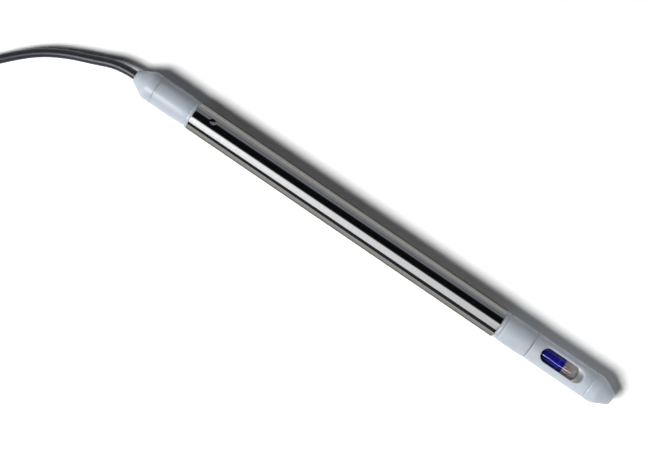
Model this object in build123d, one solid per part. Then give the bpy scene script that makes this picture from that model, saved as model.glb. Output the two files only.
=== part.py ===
from build123d import *
import os
from math import cos, pi, radians, sin, tan

# A combination pH electrode in a polished steel tube, lying on a bench.
# Its axis is along X, with the lead at -X and the sensing tip at +X, and the
# window in the guard faces +Z. Lengths are in millimetres and z = 0 is the bench.

os.makedirs("parts", exist_ok=True)

# Visible lengths along the probe, from the lead to the tip
gland_len = 15.8
cap_len = 27.7
tube_len = 228.6
collar_len = 23.4
guard_len = 60.1

# Outside diameters, and how far the acetal pieces stand inside their neighbours
tube_od = 19.05
cap_step = 0.225
collar_step = 0.225
guard_step = 0.175
cable_od = 5.8

# Walls
tube_wall = 0.89
collar_wall = 1.635
glass_wall = 0.8
membrane_wall = 0.5

# Radial clearances
spigot_gap = 0.05
thread_gap = 0.05
cable_gap = 0.10
seal_gap = 0.03
fill_gap = 0.03
wire_gap = 0.02

# Edges of turned pieces
small_edge = 0.3
tube_edge = 0.15

# Gland nut: a cone with the lead's bore, and a threaded spigot
nose_wall = 0.75
nose_edge = 0.4
cone_len = 9.6
shoulder_round = 3.0
gland_thread_r = 6.5
gland_thread_len = 13.0

# Cable cap: the taper, groove and lip beside the tube, and the inside seats
cap_taper_len = 3.8
cap_taper_round = 18.0
cap_groove_depth = 0.55
cap_groove_len = 0.5
cap_lip_slope = 0.25
cap_lip_len = 1.75
thread_relief = 1.0
grommet_wall = 2.7
grommet_len = 10.5
cap_spigot_len = 22.0

# Sealing rings in the two spigots
ring_height = 0.8
ring_width = 1.2
ring_round = 0.3
ring_play = 0.2
cap_ring_at = (3.5, 6.0)
collar_ring_at = (4.0, 8.0)

# Punched stakes that key the cap in the tube
stake_at = 12.8
stake_ball = 5.0
stake_depth = 0.5
stake_turn = 19.0
stake_count = 3
stake_groove_len = 5.4
stake_room = 0.25

# Electrode collar: lip, groove and body in front of the tube, and its spigots
collar_lip_len = 2.2
collar_lip_flare = 0.2
collar_groove_len = 1.7
collar_groove_depth = 0.8
collar_groove_round = 0.6
collar_front_taper_len = 1.6
collar_front_taper = 0.9
collar_front_round = 2.0
collar_spigot_len = 22.0
collar_front_wall = 0.8
collar_front_len = 6.0
ledge_len = 6.0
ledge_step = 0.5

# Window guard: its bore, its window and its solid tip
guard_rear_round = 1.0
guard_room = 0.5
guard_seat_room = 0.2
guard_bore_round = 2.0
window_start = 6.9
window_width = 9.4
window_to_tip = 22.7
bore_to_tip = 21.1
groove_to_tip = 16.8
tip_groove_len = 1.2
tip_groove_depth = 0.5
tip_cone_len = 10.4
tip_r = 4.0
tip_edge = 1.2
tip_shoulder_round = 5.0

# Glass stem, its fillings and its silver element
dome_len = 5.2
dome_to_window_end = 2.9
gel_front_from_apex = 10.9
bung_base_len = 2.0
bung_sleeve_len = 6.0
bung_boss_len = 4.0
silver_r = 0.4
chloride_r = 1.5
chloride_len = 8.0
chloride_in_gel = 2.9
chloride_round = 0.7

# Reference side
reference_room = 1.0
reference_offset = 0.45
reference_r = 0.3
reference_len = 24.0
junction_len = 4.0

# Terminals and the lead inside the tube
disc_gap = 0.335
disc_len = 1.6
eyelet_r = 0.8
eyelet_flange_r = 1.3
eyelet_flange_len = 0.3
strip_len = 17.0
insulation_r = 1.5
insulation_len = 8.0
core_r = 0.4
screen_r = 0.4
screen_at = 2.2
screen_start_len = 3.0
screen_end_len = 3.0

# Lead outside the probe: each point is a distance past the nose, a distance
# across, and how much of the height from the bench to the axis is left.
lead_route = [
    (0.0, 0.0, 1.0),
    (11.5, 0.0, 0.98),
    (27.2, -6.5, 0.72),
    (43.7, -13.0, 0.56),
    (58.2, -21.5, 0.48),
    (70.7, -33.0, 0.4),
    (81.7, -45.0, 0.32),
    (98.2, -58.0, 0.21),
]
bend_share = 0.45

# Coil of the lead that is put away, its strap, and the tail to the plug
coil_past_nose = 137.2
coil_across = -33.0
coil_turn_r = 36.0
coil_inner_r = 25.3
coil_layers = 2
coil_join_deg = 280.0
coil_lead_in = 16.0
coil_edge = 2.5
strap_wall = 0.8
strap_len = 10.0
strap_deg = 70.0
strap_round = 1.5
strap_room = 0.7
plug_from_centre = 27.0
plug_side_deg = 180.0
plug_back_along = -4.0
tail_bend_r = 31.5
tail_rise = [0.06, 0.2, 0.39, 0.61, 0.81, 1.0]

# Bayonet plug, along its own axis from the back of the boot
boot_len = 19.0
boot_back_wall = 0.9
boot_front_wall = 1.15
boot_front_len = 7.0
boot_round = 0.8
boot_rib_count = 3
boot_rib_pitch = 3.0
boot_rib_len = 1.4
boot_rib_depth = 0.5
boot_rib_start = 2.0
ferrule_start = 4.5
ferrule_wall = 0.75
ferrule_len = 15.5
plug_cable_len = 8.0
shoulder_len = 5.0
shoulder_r = 5.2
neck_r = 4.5
flange_r = 5.8
flange_len = 1.5
barrel_base_r = 4.4
barrel_base_len = 3.5
barrel_r = 4.05
barrel_wall = 0.65
barrel_len = 8.0
barrel_slot = 0.8
barrel_slot_len = 6.0
barrel_slots = 4
pin_bore_r = 1.6
insulator_base_len = 3.0
insulator_nose_r = 2.2
insulator_nose_len = 7.0
pin_r = 0.68
pin_back_len = 14.0
pin_front_len = 2.0
gasket_r = 5.5
gasket_len = 1.5
washer_len = 0.6
sleeve_od = 14.4
sleeve_front_od = 12.6
sleeve_len = 17.7
sleeve_grip_len = 8.7
sleeve_back_len = 2.0
sleeve_cavity_r = 6.0
sleeve_cavity_len = 5.7
sleeve_bore_r = 4.9
sleeve_round = 0.4
sleeve_gap = 0.12
sleeve_play = 0.3
grip_flutes = 20
flute_r = 0.8
flute_depth = 0.35
lug_slot_r = 1.1
lug_slot_entry = 3.0
lug_slot_drop = 4.0
lug_slot_turn = 80.0

# Places along the probe
overall_len = gland_len + cap_len + tube_len + collar_len + guard_len
nose_x = -overall_len / 2
cap_x = nose_x + gland_len
tube_x = cap_x + cap_len
tube_end_x = tube_x + tube_len
guard_x = tube_end_x + collar_len
tip_x = guard_x + guard_len
axis_z = tube_od / 2

# Radii shared by pieces that fit each other
tube_r = tube_od / 2
tube_bore_r = tube_r - tube_wall
cap_r = tube_r - cap_step
collar_r = tube_r - collar_step
guard_r = collar_r - guard_step
spigot_r = tube_bore_r - spigot_gap
ring_seat_r = tube_bore_r - ring_height - 2 * seal_gap
cable_r = cable_od / 2
cable_bore_r = cable_r + cable_gap
nose_r = cable_bore_r + nose_wall
grommet_r = cable_r + grommet_wall
gel_bore_r = tube_bore_r - collar_wall
glass_r = gel_bore_r - reference_room
glass_bore_r = glass_r - glass_wall
ledge_r = glass_r - ledge_step
reference_at = glass_r + reference_offset
guard_bore_r = glass_r + guard_room
collar_front_r = gel_bore_r + collar_front_wall

# Places of the inner pieces
thread_end_x = cap_x + gland_thread_len
grommet_end_x = thread_end_x + grommet_len
collar_back_x = tube_end_x - collar_spigot_len
bung_x = collar_back_x + ledge_len
glass_back_x = bung_x + bung_base_len
bung_end_x = glass_back_x + bung_sleeve_len
boss_end_x = glass_back_x + bung_boss_len
collar_front_x = guard_x + collar_front_len
junction_x = collar_front_x - junction_len
window_x = guard_x + window_start
window_end_x = tip_x - window_to_tip
apex_x = window_end_x - dome_to_window_end
gel_front_x = apex_x - gel_front_from_apex
chloride_x = gel_front_x - chloride_in_gel
disc_x = collar_back_x - disc_len
strip_x = collar_back_x - strip_len
wires_meet_x = disc_x + disc_len / 2


def turned(*corners):
    """Solid turned about X from its (x, radius) corners, rounded where a corner has a third number."""
    outline = make_face(Polyline(*[corner[:2] for corner in corners], close=True))
    for corner in corners:
        if len(corner) == 3:
            nearest = outline.vertices().sort_by_distance((corner[0], corner[1], 0))[0]
            outline = fillet(nearest, corner[2])
    return revolve(outline, Axis.X)


def rod(start, end, radius):
    """Plain rod on the X axis."""
    return turned((start, 0), (end, 0), (end, radius), (start, radius))


def ring(start, end, inner, outer):
    """Plain ring on the X axis."""
    return turned((start, inner), (end, inner), (end, outer), (start, outer))


def on_axis(solid):
    """A piece turned about X, lifted to the probe's own axis."""
    return Pos(0, 0, axis_z) * solid


def off_axis(solid):
    """A thin piece on the reference side, straight below the probe's axis."""
    return Pos(0, 0, -reference_at) * solid


def ring_grooves(back_x, places):
    """Grooves for the sealing rings of a spigot that starts at back_x."""
    width = ring_width + ring_play
    return [ring(back_x + at, back_x + at + width, ring_seat_r, tube_r) for at in places]


def sealing_rings(back_x, places):
    """Squeezed rings, each against the back wall of its groove."""
    rings = []
    for at in places:
        start = back_x + at
        inner = ring_seat_r + seal_gap
        corners = [
            (start, inner, ring_round),
            (start + ring_width, inner, ring_round),
            (start + ring_width, inner + ring_height, ring_round),
            (start, inner + ring_height, ring_round),
        ]
        rings.append(turned(*corners))
    return rings


def arc_radii(points):
    """The largest easy arc at each inner point of a route, from its two runs and the turn."""
    radii = []
    for before, here, after in zip(points, points[1:], points[2:]):
        run_in = Vector(*here) - Vector(*before)
        run_out = Vector(*after) - Vector(*here)
        half_turn = radians(run_in.get_angle(run_out) / 2)
        radii.append(bend_share * min(run_in.length, run_out.length) / tan(half_turn))
    return radii


def cord_tube(name, points):
    """Tube of the lead's diameter along straight runs and tangent arcs."""
    radii = arc_radii(points)
    path = FilletPolyline(*points, radius=radii)
    section = Plane(origin=path @ 0, z_dir=path % 0) * Circle(cable_r)
    tube = sweep(section, path=path)
    expected = pi * cable_r**2 * path.length
    print(name, "radii", [round(r, 1) for r in radii], "length", round(path.length, 1))
    print(name, "volume over section times length", round(tube.volume / expected, 4))
    return tube


# Gland nut: acetal, screwed into the cap by hand, its cone leading to the lead
gland_nut = on_axis(
    turned(
        (nose_x, cable_bore_r),
        (nose_x, nose_r, nose_edge),
        (nose_x + cone_len, cap_r, shoulder_round),
        (cap_x, cap_r, small_edge),
        (cap_x, gland_thread_r),
        (thread_end_x, gland_thread_r, small_edge),
        (thread_end_x, cable_bore_r),
    )
)

# Cable cap: acetal, turned with a lip that stops against the tube
lip_x = tube_x - cap_lip_len
groove_r = cap_r - cap_groove_depth
groove_end_x = lip_x - cap_lip_slope
groove_start_x = groove_end_x - cap_groove_len
spigot_end_x = tube_x + cap_spigot_len
grommet_mouth_x = thread_end_x + thread_relief
thread_bore_r = gland_thread_r + thread_gap
cap_blank = turned(
    (cap_x, thread_bore_r),
    (cap_x, cap_r, small_edge),
    (groove_start_x - cap_taper_len, cap_r, cap_taper_round),
    (groove_start_x, groove_r),
    (groove_end_x, groove_r),
    (lip_x, cap_r, small_edge),
    (tube_x, cap_r, small_edge),
    (tube_x, spigot_r),
    (spigot_end_x, spigot_r, small_edge),
    (spigot_end_x, cable_bore_r),
    (grommet_end_x, cable_bore_r),
    (grommet_end_x, grommet_r),
    (grommet_mouth_x, grommet_r),
    (grommet_mouth_x, thread_bore_r),
)
stake_x = tube_x + stake_at
stake_groove = ring(
    stake_x - stake_groove_len / 2,
    stake_x + stake_groove_len / 2,
    tube_bore_r - stake_depth - stake_room,
    tube_r,
)
cable_cap = on_axis(cap_blank - ring_grooves(tube_x, cap_ring_at) - stake_groove)
cap_o_rings = [on_axis(r) for r in sealing_rings(tube_x, cap_ring_at)]

# Grommet: rubber, squeezed round the lead by the gland nut
cable_grommet = on_axis(
    turned(
        (thread_end_x, cable_r + seal_gap),
        (grommet_end_x, cable_r + seal_gap),
        (grommet_end_x, grommet_r - seal_gap, small_edge),
        (thread_end_x, grommet_r - seal_gap, small_edge),
    )
)

# Body tube: polished stainless steel, staked inwards over the cap's groove
tube_blank = turned(
    (tube_x, tube_bore_r),
    (tube_x, tube_r, tube_edge),
    (tube_end_x, tube_r, tube_edge),
    (tube_end_x, tube_bore_r),
)
stake_out = tube_r + stake_ball - stake_depth
inside = rod(tube_x, tube_end_x, tube_bore_r + tube_wall / 2)
for i in range(stake_count):
    turn = stake_turn + i * 360 / stake_count
    punch = Pos(stake_x, 0, 0) * Rot(-turn, 0, 0) * Pos(0, 0, stake_out)
    tube_blank += punch * Sphere(stake_ball + tube_wall) & inside
    tube_blank -= punch * Sphere(stake_ball)
body_tube = on_axis(tube_blank)

# Electrode collar: acetal, holds the glass and the reference gel, plugs the tube's end
collar_lip_x = tube_end_x + collar_lip_len
collar_groove_x = collar_lip_x + collar_groove_len
collar_groove_r = collar_r - collar_groove_depth
collar_blank = turned(
    (collar_back_x, ledge_r),
    (collar_back_x, spigot_r, small_edge),
    (tube_end_x, spigot_r),
    (tube_end_x, collar_r - collar_lip_flare, small_edge),
    (collar_lip_x, collar_r, collar_groove_round),
    ((collar_lip_x + collar_groove_x) / 2, collar_groove_r, collar_groove_round),
    (collar_groove_x, collar_r, collar_groove_round),
    (guard_x - collar_front_taper_len, collar_r, collar_front_round),
    (guard_x, collar_r - collar_front_taper, small_edge),
    (guard_x, collar_front_r),
    (collar_front_x, collar_front_r, small_edge),
    (collar_front_x, gel_bore_r),
    (bung_x, gel_bore_r),
    (bung_x, ledge_r),
)
reference_hole = off_axis(rod(collar_back_x, bung_x, reference_r + wire_gap))
electrode_collar = on_axis(
    collar_blank - ring_grooves(collar_back_x, collar_ring_at) - reference_hole
)
collar_o_rings = [on_axis(r) for r in sealing_rings(collar_back_x, collar_ring_at)]

# Bung: rubber, closes the back of the stem and of the reference chamber
bung_blank = turned(
    (bung_x, silver_r + wire_gap),
    (bung_x, gel_bore_r - seal_gap),
    (bung_end_x, gel_bore_r - seal_gap),
    (bung_end_x, glass_r + seal_gap),
    (glass_back_x, glass_r + seal_gap),
    (glass_back_x, glass_bore_r - seal_gap),
    (boss_end_x, glass_bore_r - seal_gap),
    (boss_end_x, silver_r + wire_gap),
)
stem_bung = on_axis(bung_blank - off_axis(rod(bung_x, bung_end_x, reference_r + wire_gap)))


def stem_outline(start, radius, tip, nose):
    """Half outline of a round-ended stem, straight and then a half ellipse."""
    straight = Polyline((start, 0), (start, radius), (tip - nose, radius))
    dome = EllipticalCenterArc((tip - nose, 0), nose, radius, start_angle=0, arc_size=90)
    axis = Line((tip, 0), (start, 0))
    return make_face(straight + dome + axis)


# Glass stem: closed by the pH-sensitive dome
inner_dome_len = dome_len - (glass_wall - membrane_wall) / 2
inner_apex_x = apex_x - membrane_wall
stem = revolve(stem_outline(glass_back_x, glass_r, apex_x, dome_len), Axis.X)
stem_bore = revolve(
    stem_outline(glass_back_x, glass_bore_r, inner_apex_x, inner_dome_len), Axis.X
)
ph_glass = on_axis(stem - stem_bore)

# Silver element: a bare wire with a chloride-coated tip in the buffer
silver_wire = on_axis(rod(wires_meet_x, chloride_x, silver_r))
chloride_end_x = chloride_x + chloride_len
chloride_tip = on_axis(
    turned(
        (chloride_x, 0),
        (chloride_x, chloride_r, small_edge),
        (chloride_end_x, chloride_r, chloride_round),
        (chloride_end_x, 0),
    )
)

# Blue gel behind, clear buffer in front, both round the silver element
element_room = rod(boss_end_x, chloride_x, silver_r + wire_gap) + rod(
    chloride_x, chloride_end_x + wire_gap, chloride_r + wire_gap
)
blue_gel = on_axis(rod(boss_end_x, gel_front_x, glass_bore_r - fill_gap) - element_room)
buffer_apex_x = inner_apex_x - fill_gap
buffer_blank = revolve(
    stem_outline(gel_front_x, glass_bore_r - fill_gap, buffer_apex_x, inner_dome_len), Axis.X
)
buffer_fill = on_axis(buffer_blank - element_room)

# Reference side: gel round the stem, its silver wire, and the porous ring that lets it seep
reference_gel_blank = ring(bung_end_x, junction_x, glass_r + fill_gap, gel_bore_r - fill_gap)
reference_end_x = bung_end_x + reference_len
wire_hole = off_axis(rod(bung_end_x, reference_end_x + wire_gap, reference_r + wire_gap))
reference_gel = on_axis(reference_gel_blank - wire_hole)
reference_wire = on_axis(off_axis(rod(wires_meet_x, reference_end_x, reference_r)))
junction_ring = on_axis(
    ring(junction_x, collar_front_x, glass_r + seal_gap, gel_bore_r - seal_gap)
)

# Window guard: acetal, screwed over the collar's front spigot
seat_r = collar_front_r + thread_gap
seat_end_x = collar_front_x + guard_seat_room
guard_bore_end_x = tip_x - bore_to_tip
tip_groove_x = tip_x - groove_to_tip
guard_blank = turned(
    (guard_x, seat_r),
    (guard_x, guard_r, guard_rear_round),
    (tip_groove_x - tip_groove_len / 2, guard_r, small_edge),
    (tip_groove_x, guard_r - tip_groove_depth),
    (tip_groove_x + tip_groove_len / 2, guard_r, small_edge),
    (tip_x - tip_cone_len, guard_r, tip_shoulder_round),
    (tip_x, tip_r, tip_edge),
    (tip_x, 0),
    (guard_bore_end_x, 0),
    (guard_bore_end_x, guard_bore_r, guard_bore_round),
    (seat_end_x, guard_bore_r),
    (seat_end_x, seat_r),
)
window_len = window_end_x - window_x
window_mid_x = (window_x + window_end_x) / 2
window_cut = extrude(Pos(window_mid_x, 0) * SlotOverall(window_len, window_width), tube_od)
window_guard = on_axis(guard_blank - window_cut)

# Terminal disc and its two eyelets, behind the collar
eyelet_bore_r = max(core_r, silver_r, reference_r, screen_r) + wire_gap
eyelet_hole_r = eyelet_r + wire_gap
disc_blank = rod(disc_x, collar_back_x, tube_bore_r - disc_gap)
eyelet_hole = rod(disc_x, collar_back_x, eyelet_hole_r)
terminal_disc = on_axis(disc_blank - eyelet_hole - off_axis(eyelet_hole))
eyelet = ring(disc_x, collar_back_x, eyelet_bore_r, eyelet_r) + ring(
    disc_x - eyelet_flange_len, disc_x, eyelet_bore_r, eyelet_flange_r
)
terminal_eyelets = [on_axis(eyelet), on_axis(off_axis(eyelet))]

# Lead inside the probe, stripped short of the terminals
inner_cable = on_axis(rod(nose_x, strip_x, cable_r))
core_insulation = on_axis(
    ring(strip_x, strip_x + insulation_len, core_r + wire_gap, insulation_r)
)
signal_wire = on_axis(rod(strip_x, wires_meet_x, core_r))
screen_points = [
    (strip_x, 0, axis_z - screen_at),
    (strip_x + screen_start_len, 0, axis_z - screen_at),
    (disc_x - screen_end_len, 0, axis_z - reference_at),
    (wires_meet_x, 0, axis_z - reference_at),
]
screen_path = FilletPolyline(*screen_points, radius=arc_radii(screen_points))
screen_section = Plane(origin=screen_path @ 0, z_dir=screen_path % 0) * Circle(screen_r)
screen_wire = sweep(screen_section, path=screen_path)

# Lead outside, laid on the bench and into the coil
coil_x = nose_x - coil_past_nose
coil_bottom = strap_wall
coil_height = coil_layers * cable_od
layer_z = coil_bottom + cable_r


def round_coil(radius, degrees, height):
    """A point at this radius and bearing about the coil's middle."""
    bearing = radians(degrees)
    return (coil_x + radius * cos(bearing), coil_across + radius * sin(bearing), height)


lead_points = [
    (nose_x - past, across, cable_r + left * (axis_z - cable_r))
    for past, across, left in lead_route
]
join = round_coil(coil_turn_r, coil_join_deg, layer_z)
heading = radians(coil_join_deg - 90)
before_join = (
    join[0] - coil_lead_in * cos(heading),
    join[1] - coil_lead_in * sin(heading),
    layer_z,
)
cable = cord_tube("cable", lead_points + [before_join, join])

# Coil: the outer shape of two layers of turns
coil_outer_r = coil_turn_r + cable_r
coil_bore_r = coil_inner_r - cable_r
coil_blank = Cylinder(coil_outer_r, coil_height) - Cylinder(coil_bore_r, coil_height)
coil_mid_z = coil_bottom + coil_height / 2
cable_coil = Pos(coil_x, coil_across, coil_mid_z) * fillet(
    coil_blank.edges().filter_by(GeomType.CIRCLE), coil_edge
)

# Strap: hook-and-loop tape round the bundle of turns
opening_size = (coil_outer_r - coil_bore_r + strap_room, coil_height)
strap_outline = RectangleRounded(
    opening_size[0] + 2 * strap_wall, opening_size[1] + 2 * strap_wall, strap_round
)
strap_blank = extrude(
    Plane.XZ * (strap_outline - Rectangle(*opening_size)), strap_len / 2, both=True
)
strap_at = (coil_outer_r + coil_bore_r - strap_room) / 2
coil_strap = (
    Pos(coil_x, coil_across, coil_mid_z) * Rot(0, 0, strap_deg) * Pos(strap_at, 0, 0) * strap_blank
)

# Plug's place: along a chord of the coil, lying on its turns
plug_z = coil_bottom + coil_height + sleeve_od / 2 + sleeve_play
plug_frame = Pos(coil_x, coil_across, 0) * Rot(0, 0, plug_side_deg - 90)
plug_place = plug_frame * Pos(plug_back_along, plug_from_centre, plug_z)

# Tail of the lead: half a turn that climbs from the coil's upper layer into the plug's boot
upper_z = layer_z + (coil_layers - 1) * cable_od
tail_middle = plug_frame * Pos(plug_back_along, plug_from_centre - tail_bend_r, 0)
corner_step = 180 / len(tail_rise)
corner_r = tail_bend_r / cos(radians(corner_step / 2))
half_run = tail_bend_r * tan(radians(corner_step / 2))
tail_places = [Pos(half_run, -tail_bend_r, upper_z)]
for i, rise in enumerate(tail_rise):
    bearing = radians(270 - (i + 0.5) * corner_step)
    height = upper_z + rise * (plug_z - upper_z)
    tail_places.append(Pos(corner_r * cos(bearing), corner_r * sin(bearing), height))
tail_points = [tuple((tail_middle * place).position) for place in tail_places]
tail_points.append(tuple((plug_place * Pos(plug_cable_len, 0, 0)).position))
plug_tail = cord_tube("plug_tail", tail_points)

# Boot: moulded rubber with relief ribs round the lead
ferrule_r = cable_bore_r + ferrule_wall
boot_back_r = cable_bore_r + boot_back_wall
boot_front_r = ferrule_r + boot_front_wall
body_x = ferrule_start + ferrule_len
boot_blank = turned(
    (0, cable_bore_r),
    (0, boot_back_r, small_edge),
    (boot_len - boot_front_len, boot_front_r, boot_round),
    (boot_len, boot_front_r, boot_round),
    (boot_len, ferrule_r + seal_gap),
    (ferrule_start, ferrule_r + seal_gap),
    (ferrule_start, cable_bore_r),
)
boot_slope = (boot_front_r - boot_back_r) / (boot_len - boot_front_len)
for i in range(boot_rib_count):
    rib_x = boot_rib_start + i * boot_rib_pitch
    rib_r = boot_back_r + boot_slope * rib_x - boot_rib_depth
    boot_blank -= ring(rib_x, rib_x + boot_rib_len, rib_r, 2 * boot_front_r)
plug_boot = plug_place * boot_blank

# Ferrule: crimped brass over the lead's end and the plug's stem
crimp_ferrule = plug_place * ring(ferrule_start, body_x, cable_bore_r, ferrule_r)

# Plug body: plated brass, with the stem, the shoulder and the sprung barrel
neck_x = body_x + shoulder_len
sleeve_x = neck_x + sleeve_play
cavity_x = sleeve_x + sleeve_back_len
flange_x = cavity_x + sleeve_gap + washer_len
base_x = flange_x + flange_len
barrel_x = base_x + barrel_base_len
barrel_end_x = barrel_x + barrel_len
barrel_bore_r = barrel_r - barrel_wall
body_blank = turned(
    (plug_cable_len, pin_bore_r),
    (plug_cable_len, cable_r),
    (body_x, cable_r),
    (body_x, shoulder_r, small_edge),
    (neck_x, shoulder_r, small_edge),
    (neck_x, neck_r),
    (flange_x, neck_r),
    (flange_x, flange_r),
    (base_x, flange_r),
    (base_x, barrel_base_r),
    (barrel_x, barrel_base_r),
    (barrel_x, barrel_r),
    (barrel_end_x, barrel_r),
    (barrel_end_x, barrel_bore_r),
    (base_x, barrel_bore_r),
    (base_x, pin_bore_r),
)
slot_mid_x = barrel_end_x - barrel_slot_len / 2
barrel_cut = Pos(slot_mid_x, 0, barrel_r) * Box(barrel_slot_len, barrel_slot, barrel_r)
for i in range(barrel_slots):
    body_blank -= Rot(i * 360 / barrel_slots, 0, 0) * barrel_cut
plug_body = plug_place * body_blank

# Insulator and centre pin
insulator_end_x = base_x + insulator_base_len
insulator_nose_x = insulator_end_x + insulator_nose_len
plug_insulator = plug_place * turned(
    (base_x, pin_r + wire_gap),
    (base_x, barrel_bore_r - seal_gap),
    (insulator_end_x, barrel_bore_r - seal_gap),
    (insulator_end_x, insulator_nose_r),
    (insulator_nose_x, insulator_nose_r, small_edge),
    (insulator_nose_x, pin_r + wire_gap),
)
pin_x = base_x - pin_back_len
pin_end_x = insulator_nose_x + pin_front_len
plug_pin = plug_place * turned(
    (pin_x, 0), (pin_x, pin_r), (pin_end_x, pin_r, pin_r / 2), (pin_end_x, 0)
)

# Gasket in front of the flange, spring washer behind it
plug_gasket = plug_place * turned(
    (base_x, barrel_base_r + seal_gap),
    (base_x, gasket_r),
    (base_x + gasket_len, gasket_r, small_edge),
    (base_x + gasket_len, barrel_base_r + seal_gap),
)
spring_washer = plug_place * ring(flange_x - washer_len, flange_x, neck_r + seal_gap, gasket_r)

# Bayonet sleeve: plated, fluted for the fingers, with two helical lug slots
sleeve_end_x = sleeve_x + sleeve_len
grip_end_x = sleeve_x + sleeve_grip_len
bore_x = cavity_x + sleeve_cavity_len
sleeve_blank = turned(
    (sleeve_x, neck_r + sleeve_gap),
    (sleeve_x, sleeve_od / 2, sleeve_round),
    (grip_end_x, sleeve_od / 2, sleeve_round),
    (grip_end_x, sleeve_front_od / 2),
    (sleeve_end_x, sleeve_front_od / 2, sleeve_round),
    (sleeve_end_x, sleeve_bore_r),
    (bore_x, sleeve_bore_r),
    (bore_x, sleeve_cavity_r),
    (cavity_x, sleeve_cavity_r),
    (cavity_x, neck_r + sleeve_gap),
)
flute_out = sleeve_od / 2 + flute_r - flute_depth
flute = rod(sleeve_x, grip_end_x, flute_r)
for i in range(grip_flutes):
    sleeve_blank -= Rot(i * 360 / grip_flutes, 0, 0) * Pos(0, 0, flute_out) * flute
wall_mid_r = (sleeve_bore_r + sleeve_front_od / 2) / 2
slot_start_x = sleeve_end_x - lug_slot_entry
ramp = Helix(
    pitch=lug_slot_drop * 360 / lug_slot_turn, height=lug_slot_drop, radius=wall_mid_r
)
ramp_section = Plane(origin=ramp @ 0, z_dir=ramp % 0) * Circle(lug_slot_r)
ramp_cut = Pos(slot_start_x, 0, 0) * Rot(0, -90, 0) * sweep(ramp_section, path=ramp, is_frenet=True)
entry_cut = Pos(slot_start_x + lug_slot_entry / 2, 0, wall_mid_r) * Box(
    lug_slot_entry, 2 * lug_slot_r, 2 * lug_slot_r
)
lug_hole = extrude(Circle(lug_slot_r), sleeve_od)
start_hole = Pos(slot_start_x, 0, 0) * lug_hole
end_hole = Pos(slot_start_x - lug_slot_drop, 0, 0) * Rot(-lug_slot_turn, 0, 0) * lug_hole
for half_turn in (0, 180):
    sleeve_blank -= Rot(half_turn, 0, 0) * (ramp_cut + entry_cut + start_hole + end_hole)
bayonet_sleeve = plug_place * sleeve_blank

pieces = {
    "gland_nut": gland_nut,
    "cable_cap": cable_cap,
    "cap_o_rings": cap_o_rings,
    "cable_grommet": cable_grommet,
    "body_tube": body_tube,
    "electrode_collar": electrode_collar,
    "collar_o_rings": collar_o_rings,
    "stem_bung": stem_bung,
    "ph_glass": ph_glass,
    "silver_wire": silver_wire,
    "chloride_tip": chloride_tip,
    "blue_gel": blue_gel,
    "buffer_fill": buffer_fill,
    "reference_gel": reference_gel,
    "reference_wire": reference_wire,
    "junction_ring": junction_ring,
    "window_guard": window_guard,
    "terminal_disc": terminal_disc,
    "terminal_eyelets": terminal_eyelets,
    "inner_cable": inner_cable,
    "core_insulation": core_insulation,
    "signal_wire": signal_wire,
    "screen_wire": screen_wire,
    "cable": cable,
    "cable_coil": cable_coil,
    "coil_strap": coil_strap,
    "plug_tail": plug_tail,
    "plug_boot": plug_boot,
    "crimp_ferrule": crimp_ferrule,
    "plug_body": plug_body,
    "plug_insulator": plug_insulator,
    "plug_pin": plug_pin,
    "plug_gasket": plug_gasket,
    "spring_washer": spring_washer,
    "bayonet_sleeve": bayonet_sleeve,
}

for name, piece in pieces.items():
    solid = Compound(children=piece) if isinstance(piece, list) else piece
    export_step(solid, f"parts/{name}.step")
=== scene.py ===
from math import asin, atan2, ceil, cos, exp, log, pi, radians, sin, sqrt, tan

import bmesh
import bpy
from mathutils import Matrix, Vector
from mathutils.geometry import delaunay_2d_cdt


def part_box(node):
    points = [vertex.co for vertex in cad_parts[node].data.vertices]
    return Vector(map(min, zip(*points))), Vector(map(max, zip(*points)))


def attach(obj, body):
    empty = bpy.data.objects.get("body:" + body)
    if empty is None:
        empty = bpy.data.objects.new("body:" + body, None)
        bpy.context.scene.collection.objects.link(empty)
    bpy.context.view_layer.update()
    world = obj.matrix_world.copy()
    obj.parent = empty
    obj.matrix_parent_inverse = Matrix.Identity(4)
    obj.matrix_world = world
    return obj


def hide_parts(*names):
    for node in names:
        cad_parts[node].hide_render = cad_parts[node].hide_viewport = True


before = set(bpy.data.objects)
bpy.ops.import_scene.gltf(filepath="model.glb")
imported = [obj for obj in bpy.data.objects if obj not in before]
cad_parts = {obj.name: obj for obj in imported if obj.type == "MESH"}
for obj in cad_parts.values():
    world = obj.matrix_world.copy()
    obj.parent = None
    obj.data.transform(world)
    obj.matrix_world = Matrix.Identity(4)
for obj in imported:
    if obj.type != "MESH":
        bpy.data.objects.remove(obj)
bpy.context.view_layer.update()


# Body tube: the probe's barrel, cut from drawn stainless steel tube and polished.
# Three stakes, punched in with a ball-nosed tool, lock it to the cap inside its end.
mm = 0.001
tube_r = 9.525 * mm
tube_bore_r = tube_r - 0.89 * mm
tube_edge = 0.15 * mm
axis_z = tube_r
tube_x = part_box("body_tube")[0].x
tube_end_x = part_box("body_tube")[1].x
stake_x = tube_x + 12.8 * mm
stake_ball = 5.0 * mm
stake_depth = 0.5 * mm
stake_turns = [19, 139, 259]
stake_reach = 3.5 * mm
stake_rows = 29
rim_softness = 0.06 * mm
stake_lean = pi / 4
weld_reach = 1e-7
noise_low = 0.3
noise_high = 0.7


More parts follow.
